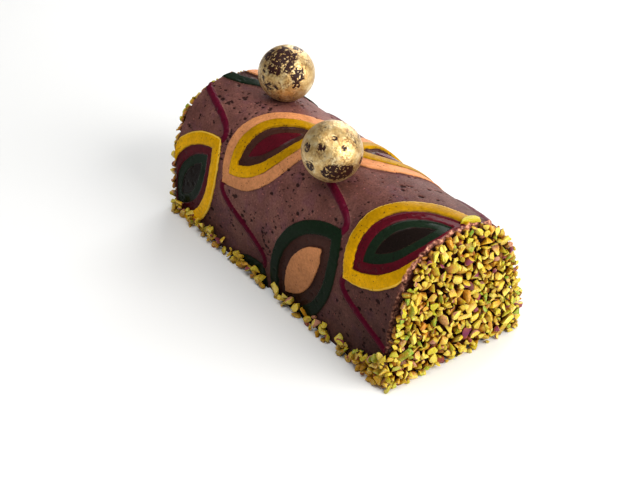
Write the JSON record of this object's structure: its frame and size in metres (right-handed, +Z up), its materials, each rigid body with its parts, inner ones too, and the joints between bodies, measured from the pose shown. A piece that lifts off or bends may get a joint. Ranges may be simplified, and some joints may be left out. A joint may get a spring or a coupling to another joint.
{
  "type": "yule log cake",
  "caption": "Moulded mousse yule log with inlaid leaf bands, chopped nuts on both ends and along the foot, and gilded balls on the ridge.",
  "frame": {"origin": "middle of the base, on the plane that the cake stands on", "axes": "+X along the log towards the end with the front ball, +Z up, -Y towards the side that the front ball leans to"},
  "size_m": [0.2002, 0.0892, 0.1014],
  "materials": {
    "mousse": "satin mauve-brown mousse with small pits and inlaid bands in mustard, copper, dark green and burgundy",
    "pistachio": "freshly chopped yellow-green nut pieces with some purple and brown skins",
    "gilded_chocolate": "pale gold leaf rubbed over dark chocolate, satin, worn through in patches"
  },
  "bodies": {
    "root": {"log": "mousse", "nut_coat_front": "pistachio", "nut_coat_rear": "pistachio", "ball_rear": "gilded_chocolate", "ball_front": "gilded_chocolate"}
  },
  "joints": []
}
